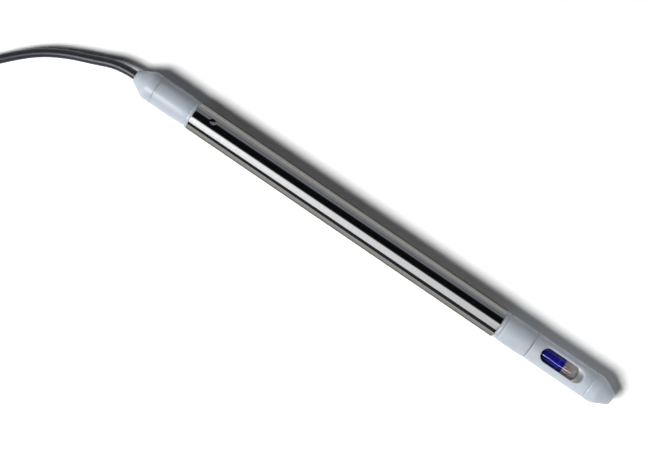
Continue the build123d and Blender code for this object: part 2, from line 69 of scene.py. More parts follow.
def eased(*corners):
    """Points of a closed outline from (x, radius, rounding) corners, with a brace beside each bend."""
    brace = 0.3 * mm
    arc_step = radians(9)
    bends = []
    for before, here, after in zip(corners[-1:] + corners[:-1], corners, corners[1:] + corners[:1]):
        corner = Vector(here[:2])
        rounding = here[2]
        if rounding == 0:
            bends.append(corner)
            continue
        to_before = (Vector(before[:2]) - corner).normalized()
        to_after = (Vector(after[:2]) - corner).normalized()
        half = to_before.angle(to_after) / 2
        middle = corner + (to_before + to_after).normalized() * rounding / sin(half)
        start = corner + to_before * rounding / tan(half) - middle
        end = corner + to_after * rounding / tan(half) - middle
        bearing = atan2(start.y, start.x)
        turn = (atan2(end.y, end.x) - bearing + pi) % (2 * pi) - pi
        steps = ceil(abs(turn) / arc_step)
        for i in range(steps + 1):
            angle = bearing + turn * i / steps
            bends.append(middle + rounding * Vector((cos(angle), sin(angle))))
    points = []
    for here, after in zip(bends, bends[1:] + bends[:1]):
        points.append(here)
        run = after - here
        if run.length > 4 * brace:
            points.append(here + run.normalized() * brace)
            points.append(after - run.normalized() * brace)
    return points


def smooth_piece(name, work, crease=40):
    """Object from a bmesh, shaded smooth but for its creases."""
    mesh = bpy.data.meshes.new(name)
    work.to_mesh(mesh)
    work.free()
    mesh.shade_smooth()
    mesh.set_sharp_from_angle(angle=radians(crease))
    piece = bpy.data.objects.new(name, mesh)
    bpy.context.scene.collection.objects.link(piece)
    return piece


def turned(points, steps=192):
    """Bmesh of a closed outline turned about the probe's axis."""
    work = bmesh.new()
    rows = []
    for i in range(steps):
        angle = 2 * pi * i / steps
        rows.append([work.verts.new((x, r * sin(angle), axis_z + r * cos(angle))) for x, r in points])
    for row, following in zip(rows, rows[1:] + rows[:1]):
        for k in range(len(points)):
            corners = (row[k - 1], row[k], following[k], following[k - 1])
            work.faces.new(corners)
    bmesh.ops.remove_doubles(work, verts=work.verts, dist=weld_reach)
    bare_edges = [edge for edge in work.edges if not edge.link_faces]
    bmesh.ops.delete(work, geom=bare_edges, context="EDGES")
    bmesh.ops.recalc_face_normals(work, faces=work.faces)
    return work


def finish(name, sockets):
    """Material whose shader has these constant values."""
    material = bpy.data.materials.new(name)
    material.use_nodes = True
    shader = material.node_tree.nodes["Principled BSDF"]
    for socket, value in sockets.items():
        shader.inputs[socket].default_value = value
    return material


def noise(material, grain, stretch=(1, 1, 1), detail=3):
    """Noise with features of this size in metres, drawn out along X, Y and Z by stretch."""
    nodes = material.node_tree.nodes
    links = material.node_tree.links
    place = nodes.new("ShaderNodeTexCoord")
    mapping = nodes.new("ShaderNodeMapping")
    mapping.inputs["Scale"].default_value = [1 / (grain * s) for s in stretch]
    texture = nodes.new("ShaderNodeTexNoise")
    texture.inputs["Scale"].default_value = 1
    texture.inputs["Detail"].default_value = detail
    links.new(place.outputs["Object"], mapping.inputs["Vector"])
    links.new(mapping.outputs["Vector"], texture.inputs["Vector"])
    return texture.outputs["Fac"]


def tint(material, pattern, *colours, low=noise_low, high=noise_high):
    """Base colour that runs through these colours as a pattern goes from low to high."""
    nodes = material.node_tree.nodes
    links = material.node_tree.links
    ramp = nodes.new("ShaderNodeValToRGB")
    stops = ramp.color_ramp.elements
    while len(stops) < len(colours):
        stops.new(1)
    for i, colour in enumerate(colours):
        stops[i].position = low + (high - low) * i / (len(colours) - 1)
        stops[i].color = (*colour, 1)
    links.new(pattern, ramp.inputs["Fac"])
    links.new(ramp.outputs["Color"], nodes["Principled BSDF"].inputs["Base Color"])


def gloss(material, pattern, smooth, rough):
    """Roughness that goes from smooth to rough with a pattern."""
    nodes = material.node_tree.nodes
    links = material.node_tree.links
    spread = nodes.new("ShaderNodeMapRange")
    spread.inputs["From Min"].default_value = noise_low
    spread.inputs["From Max"].default_value = noise_high
    spread.inputs["To Min"].default_value = smooth
    spread.inputs["To Max"].default_value = rough
    links.new(pattern, spread.inputs["Value"])
    links.new(spread.outputs["Result"], nodes["Principled BSDF"].inputs["Roughness"])


def relief(material, pattern, height):
    """Fine relief of this height in metres, from a pattern."""
    nodes = material.node_tree.nodes
    links = material.node_tree.links
    bump = nodes.new("ShaderNodeBump")
    bump.inputs["Distance"].default_value = height
    links.new(pattern, bump.inputs["Height"])
    links.new(bump.outputs["Normal"], nodes["Principled BSDF"].inputs["Normal"])


def fit(piece, material, slot, *nodes, body="probe"):
    """Gives a piece its finish and puts it in the place of its solids."""
    piece.data.materials.append(material)
    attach(piece, body)
    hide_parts(*nodes)


def pressed_in(radius, lean, along, ball):
    """Radius of a tube wall where a punch ball has pushed it in, with a softly rounded rim."""
    out = tube_r + stake_ball - stake_depth
    room = ball**2 - along**2 - (out * sin(lean)) ** 2
    if room <= 0:
        return radius
    depth = radius - out * cos(lean) + sqrt(room)
    return radius - rim_softness * log(1 + exp(depth / rim_softness))


stake_stations = [stake_x + stake_reach * (2 * i / (stake_rows - 1) - 1) for i in range(stake_rows)]
tube_outline = eased(
    (tube_x, tube_bore_r, 0),
    (tube_x, tube_r, tube_edge),
    *[(x, tube_r, 0) for x in stake_stations],
    (tube_end_x, tube_r, tube_edge),
    (tube_end_x, tube_bore_r, 0),
    *[(x, tube_bore_r, 0) for x in reversed(stake_stations)],
)
tube_work = turned(tube_outline, steps=256)
for vert in tube_work.verts:
    along = vert.co.x - stake_x
    around = Vector((0, vert.co.y, vert.co.z - axis_z))
    radius = around.length
    ball = stake_ball if radius > tube_r - tube_edge else stake_ball + tube_r - tube_bore_r
    for turn in stake_turns:
        lean = around.angle(Vector((0, sin(radians(turn)), cos(radians(turn)))))
        if abs(along) < stake_reach and lean < stake_lean:
            around *= pressed_in(radius, lean, along, ball) / radius
    vert.co = (vert.co.x, around.y, axis_z + around.z)
body_tube = smooth_piece("tube", tube_work)
# The steel's base colour is darker than bare stainless steel, and its edges are tinted dark and warm:
# painted shade, standing in for dark surroundings seen in the polished tube.
polished_steel = finish("polished_steel", {"Metallic": 1.0, "Specular Tint": (0.32, 0.27, 0.21, 1)})
polish_lines = noise(polished_steel, 1.5 * mm, stretch=(0.2, 6, 6))
tint(polished_steel, polish_lines, (0.235, 0.235, 0.235), (0.262, 0.262, 0.26))
gloss(polished_steel, polish_lines, smooth=0.05, rough=0.09)
relief(polished_steel, noise(polished_steel, 9 * mm, stretch=(4, 1, 1), detail=1), height=2e-6)
fit(body_tube, polished_steel, "polished_steel", "body_tube")


# Cable cap: white acetal, turned from bar, with a groove and lip where it meets the tube.
# Its spigot, with two rubber sealing rings, is pressed in and held by the stakes.
cap_r = tube_r - 0.225 * mm
small_edge = 0.3 * mm
cap_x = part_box("cable_cap")[0].x
spigot_end_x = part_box("cable_cap")[1].x
spigot_r = tube_bore_r - 0.05 * mm
ring_seat_r = tube_bore_r - 0.86 * mm
ring_groove_len = 1.4 * mm
cap_ring_at = [3.5 * mm, 6.0 * mm]
cable_bore_r = 3.0 * mm
thread_bore_r = 6.55 * mm
grommet_r = 5.6 * mm
grommet_x = cap_x + 14.0 * mm
grommet_end_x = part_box("cable_grommet")[1].x
cap_lip_x = tube_x - 1.75 * mm
cap_groove_end_x = cap_lip_x - 0.25 * mm
cap_groove_x = cap_groove_end_x - 0.5 * mm
cap_groove_r = cap_r - 0.55 * mm
cap_taper_x = cap_groove_x - 3.8 * mm
cap_taper_round = 18 * mm


def ring_grooves(start, places):
    """Outline corners of the sealing ring grooves in a spigot that starts at this place."""
    corners = []
    for at in places:
        back = start + at
        front = back + ring_groove_len
        corners += [
            (back, spigot_r, 0),
            (back, ring_seat_r, 0),
            (front, ring_seat_r, 0),
            (front, spigot_r, 0),
        ]
    return corners


def turned_acetal(name, light_reach, *whites):
    """White acetal that light enters this deep, with fine turning marks round the axis."""
    material = finish(
        name,
        {
            "Subsurface Weight": 1.0,
            "Subsurface Radius": (1, 1, 1),
            "Subsurface Scale": light_reach,
            "Specular IOR Level": 0.34,
        },
    )
    marks = noise(material, 0.12 * mm, stretch=(1, 80, 80), detail=2)
    tint(material, noise(material, 12 * mm), *whites)
    gloss(material, marks, smooth=0.36, rough=0.46)
    relief(material, marks, height=1.2e-6)
    return material


def dress(material, *nodes):
    """Gives the solids themselves this finish."""
    for node in nodes:
        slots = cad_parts[node].data.materials
        slots.clear()
        slots.append(material)


cap_outline = eased(
    (cap_x, thread_bore_r, 0),
    (cap_x, cap_r, small_edge),
    (cap_taper_x, cap_r, cap_taper_round),
    (cap_groove_x, cap_groove_r, 0),
    (cap_groove_end_x, cap_groove_r, 0),
    (cap_lip_x, cap_r, small_edge),
    (tube_x, cap_r, small_edge),
    (tube_x, spigot_r, 0),
    *ring_grooves(tube_x, cap_ring_at),
    (spigot_end_x, spigot_r, small_edge),
    (spigot_end_x, cable_bore_r, 0),
    (grommet_end_x, cable_bore_r, 0),
    (grommet_end_x, grommet_r, 0),
    (grommet_x, grommet_r, 0),
    (grommet_x, thread_bore_r, 0),
)
cable_cap = smooth_piece("cap", turned(cap_outline))
acetal = turned_acetal("acetal", 6.5 * mm, (0.495, 0.545, 0.61), (0.525, 0.575, 0.64))
fit(cable_cap, acetal, "acetal", "cable_cap")
seal_rubber = finish("seal_rubber", {"Specular IOR Level": 0.35})
tint(seal_rubber, noise(seal_rubber, 0.8 * mm), (0.012, 0.012, 0.013), (0.022, 0.022, 0.023))
gloss(seal_rubber, noise(seal_rubber, 0.4 * mm), smooth=0.45, rough=0.65)
dress(seal_rubber, "cap_o_rings")


# Gland nut: white acetal cone that screws into the cap and squeezes a rubber
# grommet round the lead. It is turned with a rounded shoulder and a small nose.
nose_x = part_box("gland_nut")[0].x
thread_end_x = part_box("gland_nut")[1].x
nose_r = 3.75 * mm
nose_edge = 0.4 * mm
shoulder_x = nose_x + 9.6 * mm
shoulder_round = 3.0 * mm
thread_r = 6.5 * mm
gland_outline = eased(
    (nose_x, cable_bore_r, 0),
    (nose_x, nose_r, nose_edge),
    (shoulder_x, cap_r, shoulder_round),
    (cap_x, cap_r, small_edge),
    (cap_x, thread_r, 0),
    (thread_end_x, thread_r, small_edge),
    (thread_end_x, cable_bore_r, 0),
)
gland_nut = smooth_piece("nut", turned(gland_outline))
fit(gland_nut, acetal, "acetal", "gland_nut")
dress(seal_rubber, "cable_grommet")


# Electrode collar: white acetal plug in the tube's other end, with a lip, a groove
# and a threaded front for the guard. Two rubber rings seal its spigot.
collar_r = cap_r
collar_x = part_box("electrode_collar")[0].x
collar_front_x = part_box("electrode_collar")[1].x
guard_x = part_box("window_guard")[0].x
collar_lip_x = tube_end_x + 2.2 * mm
collar_lip_r = collar_r - 0.2 * mm
collar_groove_x = collar_lip_x + 0.85 * mm
collar_groove_end_x = collar_lip_x + 1.7 * mm
collar_groove_r = collar_r - 0.8 * mm
collar_groove_round = 0.6 * mm
collar_taper_x = guard_x - 1.6 * mm
collar_taper_r = collar_r - 0.6 * mm
collar_front_round = 2.0 * mm
collar_front_r = 7.8 * mm
collar_ring_at = [4.0 * mm, 8.0 * mm]
gel_bore_r = 7.0 * mm
ledge_x = collar_x + 6.0 * mm
ledge_r = 5.5 * mm
collar_outline = eased(
    (collar_x, ledge_r, 0),
    (collar_x, spigot_r, small_edge),
    *ring_grooves(collar_x, collar_ring_at),
    (tube_end_x, spigot_r, 0),
    (tube_end_x, collar_lip_r, small_edge),
    (collar_lip_x, collar_r, collar_groove_round),
    (collar_groove_x, collar_groove_r, collar_groove_round),
    (collar_groove_end_x, collar_r, collar_groove_round),
    (collar_taper_x, collar_r, collar_front_round),
    (guard_x, collar_taper_r, small_edge),
    (guard_x, collar_front_r, 0),
    (collar_front_x, collar_front_r, small_edge),
    (collar_front_x, gel_bore_r, 0),
    (ledge_x, gel_bore_r, 0),
    (ledge_x, ledge_r, 0),
)
electrode_collar = smooth_piece("collar", turned(collar_outline))
fit(electrode_collar, acetal, "acetal", "electrode_collar")
dress(seal_rubber, "collar_o_rings")


# Glass stem: drawn tube closed by a thin pH-sensitive dome. It holds a deep blue gel,
# a clear buffer in front of it, and a silver wire whose chloride tip is in the buffer.
glass_r = 6.0 * mm
glass_bore_r = 5.2 * mm
stem_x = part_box("ph_glass")[0].x
apex_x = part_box("ph_glass")[1].x
inner_apex_x = apex_x - 0.5 * mm
dome_len = 5.2 * mm
inner_dome_len = 5.05 * mm
gel_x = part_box("blue_gel")[0].x
gel_front_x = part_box("blue_gel")[1].x
tip_start_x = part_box("chloride_tip")[0].x
tip_front_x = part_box("chloride_tip")[1].x
wire_r = 0.42 * mm
chloride_r = 1.5 * mm
chloride_round = 0.7 * mm
wetting = 0.04 * mm
dome_steps = 28
light_ring_x = gel_front_x - 4.3 * mm
light_ring_end_x = gel_front_x - 3.1 * mm
light_ring_blue = (0.02, 0.02, 0.36)


def dome(apex, length, radius):
    """Points of a half ellipse from the straight stem to its apex."""
    angles = [pi / 2 * i / dome_steps for i in range(dome_steps + 1)]
    return [Vector((apex - length + length * sin(a), radius * cos(a))) for a in angles]


def ring_of(material, start, end, colour):
    """Puts a soft-edged ring of another base colour between two places along X."""
    nodes = material.node_tree.nodes
    links = material.node_tree.links
    place = nodes.new("ShaderNodeTexCoord")
    parts = nodes.new("ShaderNodeSeparateXYZ")
    offset = nodes.new("ShaderNodeMath")
    offset.operation = "SUBTRACT"
    offset.inputs[1].default_value = (start + end) / 2
    distance = nodes.new("ShaderNodeMath")
    distance.operation = "ABSOLUTE"
    inside = nodes.new("ShaderNodeMapRange")
    inside.inputs["From Min"].default_value = (end - start) / 2
    inside.inputs["From Max"].default_value = 0
    mixed = nodes.new("ShaderNodeMix")
    mixed.data_type = "RGBA"
    mixed.inputs["B"].default_value = (*colour, 1)
    base = nodes["Principled BSDF"].inputs["Base Color"]
    links.new(base.links[0].from_socket, mixed.inputs["A"])
    links.new(place.outputs["Object"], parts.inputs["Vector"])
    links.new(parts.outputs["X"], offset.inputs[0])
    links.new(offset.outputs["Value"], distance.inputs[0])
    links.new(distance.outputs["Value"], inside.inputs["Value"])
    links.new(inside.outputs["Result"], mixed.inputs["Factor"])
    links.new(mixed.outputs["Result"], base)


stem_outline = [
    Vector((stem_x, glass_bore_r)),
    Vector((stem_x, glass_r)),
    *dome(apex_x, dome_len, glass_r),
    *reversed(dome(inner_apex_x, inner_dome_len, glass_bore_r)),
]
ph_glass = smooth_piece("stem", turned(stem_outline))
drawn_glass = finish(
    "electrode_glass",
    {"Base Color": (0.98, 0.99, 0.99, 1), "Transmission Weight": 1.0, "IOR": 1.5},
)
drawing_lines = noise(drawn_glass, 0.8 * mm, stretch=(40, 1, 1), detail=1)
gloss(drawn_glass, drawing_lines, smooth=0.0, rough=0.02)
relief(drawn_glass, drawing_lines, height=5e-8)
fit(ph_glass, drawn_glass, "electrode_glass", "ph_glass")
ph_glass.visible_shadow = False

filling_r = glass_bore_r + wetting
gel_outline = eased(
    (gel_x, wire_r, 0),
    (gel_x, filling_r, 0),
    (gel_front_x, filling_r, 0),
    (gel_front_x, chloride_r - wetting, 0),
    (tip_start_x, chloride_r - wetting, 0),
    (tip_start_x, wire_r, 0),
)
blue_gel = smooth_piece("gel", turned(gel_outline))
deep_blue = finish("blue_gel", {"Roughness": 0.25, "Specular IOR Level": 0.0})
tint(
    deep_blue,
    noise(deep_blue, 5 * mm, stretch=(2, 1, 1)),
    (0.004, 0.004, 0.085),
    (0.008, 0.008, 0.17),
)
ring_of(deep_blue, light_ring_x, light_ring_end_x, light_ring_blue)
fit(blue_gel, deep_blue, "blue_gel", "blue_gel")

buffer_outline = [
    Vector((gel_front_x, chloride_r - wetting)),
    Vector((gel_front_x, filling_r)),
    *dome(inner_apex_x + wetting, inner_dome_len, filling_r),
    Vector((tip_front_x - wetting, 0)),
    Vector((tip_front_x - wetting, chloride_r - chloride_round)),
    Vector((tip_front_x - chloride_round, chloride_r - wetting)),
]
buffer_fill = smooth_piece("buffer", turned(buffer_outline))
clear_liquid = finish(
    "clear_buffer",
    {"Base Color": (0.66, 0.60, 0.585, 1), "Transmission Weight": 0.86, "IOR": 1.333},
)
gloss(clear_liquid, noise(clear_liquid, 4 * mm), smooth=0.0, rough=0.01)
fit(buffer_fill, clear_liquid, "clear_buffer", "buffer_fill")
buffer_fill.visible_shadow = False

chloride_outline = eased(
    (tip_start_x, 0, 0),
    (tip_start_x, chloride_r, small_edge),
    (tip_front_x, chloride_r, chloride_round),
    (tip_front_x, 0, 0),
)
chloride_tip = smooth_piece("element", turned(chloride_outline, steps=96))
chloride_coat = finish("silver_chloride", {"Roughness": 0.6})
blotches = noise(chloride_coat, 1.1 * mm, detail=2)
tint(
    chloride_coat,
    blotches,
    (0.10, 0.10, 0.025),
    (0.11, 0.07, 0.07),
    (0.30, 0.22, 0.15),
    low=0.4,
    high=0.6,
)
relief(chloride_coat, noise(chloride_coat, 0.3 * mm), height=4e-5)
fit(chloride_tip, chloride_coat, "silver_chloride", "chloride_tip")
bare_silver = finish("silver", {"Metallic": 1.0})
tint(bare_silver, noise(bare_silver, 1 * mm), (0.58, 0.56, 0.52), (0.70, 0.68, 0.64))
gloss(bare_silver, noise(bare_silver, 0.3 * mm, stretch=(20, 1, 1)), smooth=0.2, rough=0.35)
dress(bare_silver, "silver_wire")
dress(seal_rubber, "stem_bung")


# Reference side: milky gel round the stem, a second silver wire in it, and a ring of
# porous fluoropolymer pressed in behind the window, through which the gel seeps.
milky_gel = finish("reference_gel", {"Subsurface Weight": 0.4, "Subsurface Scale": 2 * mm})
tint(milky_gel, noise(milky_gel, 4 * mm), (0.50, 0.55, 0.55), (0.60, 0.64, 0.64))
gloss(milky_gel, noise(milky_gel, 2 * mm), smooth=0.15, rough=0.3)
dress(milky_gel, "reference_gel")
dress(chloride_coat, "reference_wire")
porous_ring = finish("porous_ptfe", {"Specular IOR Level": 0.3})
pores = noise(porous_ring, 0.12 * mm, detail=4)
tint(porous_ring, pores, (0.55, 0.55, 0.53), (0.78, 0.78, 0.75))
gloss(porous_ring, pores, smooth=0.6, rough=0.85)
relief(porous_ring, pores, height=4e-5)
dress(porous_ring, "junction_ring")


# Window guard: white acetal sleeve screwed over the collar, with a solid conical tip and a
# round-ended window milled straight down through its wall, so that liquid reaches the glass.
# The bore has its own, whiter finish: painted light, for the light that comes in through the thin wall.
guard_r = collar_r - 0.175 * mm
tip_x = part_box("window_guard")[1].x
guard_rear_round = 1.0 * mm
seat_r = 7.85 * mm
seat_end_x = collar_front_x + 0.2 * mm
guard_bore_r = 6.5 * mm
guard_bore_end_x = tip_x - 21.1 * mm
guard_bore_round = 1.5 * mm
tip_groove_x = tip_x - 16.8 * mm
tip_groove_half = 0.6 * mm
tip_groove_depth = 0.5 * mm
tip_groove_round = 0.5 * mm
tip_cone_x = tip_x - 10.4 * mm
tip_shoulder_round = 5.0 * mm
tip_r = 4.0 * mm
tip_edge = 1.2 * mm
window_x = guard_x + 6.9 * mm
window_end_x = tip_x - 22.7 * mm
window_half = 4.7 * mm
window_edge = 0.25 * mm
window_edge_steps = 4
window_row = 1.0 * mm
window_margin = 0.2 * mm
patch_x = window_x - 0.6 * mm
patch_end_x = window_end_x + 0.05 * mm
outer_patch_end_x = window_end_x + 0.9 * mm
guard_steps = 192
hair = 0.01 * mm
same_radius = 1e-6
window_weld = 2e-6
painted_light_bore_index = 1


def window_loop(grow):
    """Plan points round the window, grown outwards by this much."""
    points = []
    arc_steps = 26
    side_steps = 20
    back = window_x + window_half
    front = window_end_x - window_half
    radius = window_half + grow
    for i in range(arc_steps + 1):
        angle = pi / 2 - pi * i / arc_steps
        points.append(Vector((front + radius * cos(angle), radius * sin(angle))))
    for i in range(1, side_steps):
        points.append(Vector((front + (back - front) * i / side_steps, -radius)))
    for i in range(arc_steps + 1):
        angle = -pi / 2 - pi * i / arc_steps
        points.append(Vector((back + radius * cos(angle), radius * sin(angle))))
    for i in range(1, side_steps):
        points.append(Vector((back + (front - back) * i / side_steps, radius)))
    return points


def in_window(x, y, grow):
    """Whether a plan point lies inside the window, grown by this much."""
    along = max(window_x + window_half - x, 0, x - window_end_x + window_half)
    return along**2 + y**2 < (window_half + grow) ** 2


def on_wall(point, radius, depth=0):
    """Point of the guard's upper side above a plan point, this deep under the surface."""
    return (point.x, point.y, axis_z + sqrt(radius**2 - point.y**2) - depth)


def pierced_wall(work, radius, start, end, grow):
    """Adds a round wall with the window cut out of it, as triangles that follow the window's edge."""
    loop = window_loop(grow)
    flat = [Vector((p.x, radius * asin(p.y / radius))) for p in loop]
    edges = [(i, (i + 1) % len(loop)) for i in range(len(loop))]
    rows = ceil((end - start) / window_row)
    for i in range(rows + 1):
        x = start + (end - start) * i / rows
        border = i in (0, rows)
        for k in range(guard_steps + 1):
            angle = 2 * pi * k / guard_steps - pi
            y = radius * sin(angle)
            if border or cos(angle) < 0 or not in_window(x, y, grow + window_margin):
                flat.append(Vector((x, radius * angle)))
    whole_patch = 0
    places, _, triangles, *_ = delaunay_2d_cdt(flat, edges, [], whole_patch, weld_reach)
    verts = []
    for p in places:
        angle = p.y / radius
        verts.append(work.verts.new((p.x, radius * sin(angle), axis_z + radius * cos(angle))))
    for triangle in triangles:
        middle = sum((places[i] for i in triangle), Vector((0, 0))) / 3
        angle = middle.y / radius
        if cos(angle) < 0 or not in_window(middle.x, radius * sin(angle), grow - hair):
            work.faces.new([verts[i] for i in triangle])


def outer_radius(face):
    """Distance of a face's farthest corner from the probe's axis."""
    return max(Vector((v.co.y, v.co.z - axis_z)).length for v in face.verts)


guard_outline = eased(
    (guard_x, seat_r, 0),
    (guard_x, guard_r, guard_rear_round),
    (patch_x, guard_r, 0),
    (outer_patch_end_x, guard_r, 0),
    (tip_groove_x - tip_groove_half, guard_r, tip_groove_round),
    (tip_groove_x, guard_r - tip_groove_depth, tip_groove_round),
    (tip_groove_x + tip_groove_half, guard_r, tip_groove_round),
    (tip_cone_x, guard_r, tip_shoulder_round),
    (tip_x, tip_r, tip_edge),
    (tip_x, 0, 0),
    (guard_bore_end_x, 0, 0),
    (guard_bore_end_x, guard_bore_r, guard_bore_round),
    (patch_end_x, guard_bore_r, 0),
    (patch_x, guard_bore_r, 0),
    (seat_end_x, guard_bore_r, 0),
    (seat_end_x, seat_r, 0),
)
guard_work = turned(guard_outline, steps=guard_steps)
under_window = []
for face in guard_work.faces:
    middle = face.calc_center_median()
    radius = outer_radius(face)
    outer = abs(radius - guard_r) < same_radius and patch_x < middle.x < outer_patch_end_x
    inner = abs(radius - guard_bore_r) < same_radius and patch_x < middle.x < patch_end_x
    if outer or inner:
        under_window.append(face)
bmesh.ops.delete(guard_work, geom=under_window, context="FACES")
pierced_wall(guard_work, guard_r, patch_x, outer_patch_end_x, window_edge)
pierced_wall(guard_work, guard_bore_r, patch_x, patch_end_x, 0)
lips = []
for i in range(window_edge_steps + 1):
    angle = pi / 2 * i / window_edge_steps
    sunk = window_edge * (1 - cos(angle))
    loop = window_loop(window_edge * (1 - sin(angle)))
    lips.append([guard_work.verts.new(on_wall(p, guard_r, sunk)) for p in loop])
lips.append([guard_work.verts.new(on_wall(p, guard_bore_r)) for p in window_loop(0)])
for upper, lower in zip(lips, lips[1:]):
    for k in range(len(upper)):
        guard_work.faces.new((upper[k - 1], upper[k], lower[k], lower[k - 1]))
bmesh.ops.remove_doubles(guard_work, verts=guard_work.verts, dist=window_weld)
bmesh.ops.recalc_face_normals(guard_work, faces=guard_work.faces)
# Faces of the bore get the whiter finish, which is painted light.
for face in guard_work.faces:
    middle = face.calc_center_median()
    if outer_radius(face) < guard_bore_r + hair and middle.x < guard_bore_end_x + hair:
        face.material_index = painted_light_bore_index
window_guard = smooth_piece("guard", guard_work)
# The guard's acetal is written lighter than the cap's and collar's: painted light, for the glow of light
# through its thin wall.
guard_acetal_painted_lighter = turned_acetal("guard_acetal_painted_lighter", 4.5 * mm, (0.54, 0.59, 0.655), (0.57, 0.62, 0.685))
fit(window_guard, guard_acetal_painted_lighter, "acetal", "window_guard")
# Whiter copy of the acetal for the bore: painted light, for light that comes in through the thin wall.
painted_light_bore = turned_acetal("painted_light_bore", 6 * mm, (0.76, 0.775, 0.79), (0.80, 0.815, 0.83))
window_guard.data.materials.append(painted_light_bore)


# Terminals: a glass-fibre disc behind the collar with two plated eyelets. In them the lead's
# copper conductors are soldered to the two silver wires, out of sight inside the tube.
fibre_board = finish("fibre_board", {"Specular IOR Level": 0.4})
fibres = noise(fibre_board, 0.4 * mm, stretch=(1, 4, 1))
tint(fibre_board, fibres, (0.06, 0.11, 0.03), (0.11, 0.18, 0.06))
gloss(fibre_board, fibres, smooth=0.4, rough=0.6)
dress(fibre_board, "terminal_disc")
plated_brass = finish("brass", {"Metallic": 1.0})
tint(plated_brass, noise(plated_brass, 1 * mm), (0.66, 0.45, 0.16), (0.76, 0.54, 0.22))
gloss(plated_brass, noise(plated_brass, 0.3 * mm), smooth=0.18, rough=0.32)
dress(plated_brass, "terminal_eyelets")
tinned_copper = finish("copper", {"Metallic": 1.0})
tint(tinned_copper, noise(tinned_copper, 0.6 * mm), (0.50, 0.24, 0.13), (0.62, 0.34, 0.22))
gloss(tinned_copper, noise(tinned_copper, 0.3 * mm), smooth=0.25, rough=0.4)
dress(tinned_copper, "signal_wire", "screen_wire")
core_plastic = finish("white_insulation", {"Specular IOR Level": 0.4})
tint(core_plastic, noise(core_plastic, 2 * mm), (0.72, 0.72, 0.69), (0.80, 0.80, 0.77))
gloss(core_plastic, noise(core_plastic, 0.5 * mm), smooth=0.35, rough=0.5)
dress(core_plastic, "core_insulation")


# Lead: one metre of coaxial cable in a dark blue-grey jacket, extruded with a satin skin.
# It leaves the gland nut, sinks to the bench and is put away in a round coil of two layers.
# Its route and its coil are in millimetres.
cable_r = 2.9 * mm
lead_route = [
    (-177.8, 0, 9.525),
    (-189.3, 0, 9.39),
    (-205.0, -6.5, 7.67),
    (-221.5, -13, 6.61),
    (-236.0, -21.5, 6.08),
    (-248.5, -33, 5.55),
    (-259.5, -45, 5.02),
    (-276.0, -58, 4.29),
    (-292.99, -65.67, 3.7),
]
coil_x = -315
coil_y = -33
coil_start_deg = 280
coil_sweep_deg = 1353
coil_step_deg = 24
coil_outer_r = 36.0
coil_inner_r = 25.6
coil_end_r = 36.27
coil_in_deg = 630
coil_climb_deg = 110
lower_z = 3.7
upper_z = 9.5
tail_route = [
    (-279.0, -28.56, 9.5),
    (-279.0, -45.44, 10.12),
    (-287.44, -60.06, 11.58),
    (-302.06, -68.5, 13.56),
    (-318.94, -68.5, 15.84),
    (-333.56, -60.06, 17.92),
    (-342.0, -45.44, 19.9),
    (-342.0, -29.0, 19.9),
]


def coil_place(swept):
    """Radius and height of the coiled lead after this many degrees: in below, up, and out on top."""
    out_deg = coil_in_deg + coil_climb_deg
    share_in = min(1, swept / coil_in_deg)
    share_up = min(1, max(0, (swept - coil_in_deg) / coil_climb_deg))
    share_out = max(0, (swept - out_deg) / (coil_sweep_deg - out_deg))
    radius = coil_outer_r + (coil_inner_r - coil_outer_r) * share_in
    radius += (coil_end_r - coil_inner_r) * share_out
    height = lower_z + (upper_z - lower_z) * share_up * share_up * (3 - 2 * share_up)
    return radius, height


def coil_turns():
    """Points of the coil's route."""
    points = []
    steps = round(coil_sweep_deg / coil_step_deg)
    for i in range(steps):
        swept = coil_sweep_deg * i / steps
        radius, height = coil_place(swept)
        radius /= cos(radians(coil_step_deg / 2))
        bearing = radians(coil_start_deg - swept)
        points.append((coil_x + radius * cos(bearing), coil_y + radius * sin(bearing), height))
    return points


lead_points = lead_route + coil_turns() + tail_route
lead_curve = bpy.data.curves.new("lead", "CURVE")
lead_curve.dimensions = "3D"
lead_curve.bevel_depth = cable_r
lead_curve.bevel_resolution = 8
lead_curve.use_fill_caps = True
lead_curve.resolution_u = 10
spline = lead_curve.splines.new("NURBS")
spline.points.add(len(lead_points) - 1)
for point, place in zip(spline.points, lead_points):
    point.co = (*[v * mm for v in place], 1)
spline.order_u = 3
spline.use_endpoint_u = True
lead = bpy.data.objects.new("lead", lead_curve)
bpy.context.scene.collection.objects.link(lead)
cable_jacket = finish("cable_jacket", {"Specular IOR Level": 0.32})
tint(cable_jacket, noise(cable_jacket, 6 * mm), (0.014, 0.017, 0.026), (0.020, 0.024, 0.035))
skin = noise(cable_jacket, 0.25 * mm, detail=2)
gloss(cable_jacket, skin, smooth=0.32, rough=0.42)
relief(cable_jacket, skin, height=2e-6)
fit(lead, cable_jacket, "cable_jacket", "cable", "cable_coil", "plug_tail")
dress(cable_jacket, "inner_cable")


# Coil strap: black hook-and-loop tape pulled tight round the turns of the coil,
# with its end pressed down on its own start. Its sizes are in millimetres too.
strap_deg = 70
strap_turns = 4
strap_half = 5.0
strap_wall = 0.7
strap_slack = 0.05
strap_lap_gap = 0.04
strap_start_deg = 60
strap_sweep_deg = 435
strap_climb_deg = 25
strap_step_deg = 5


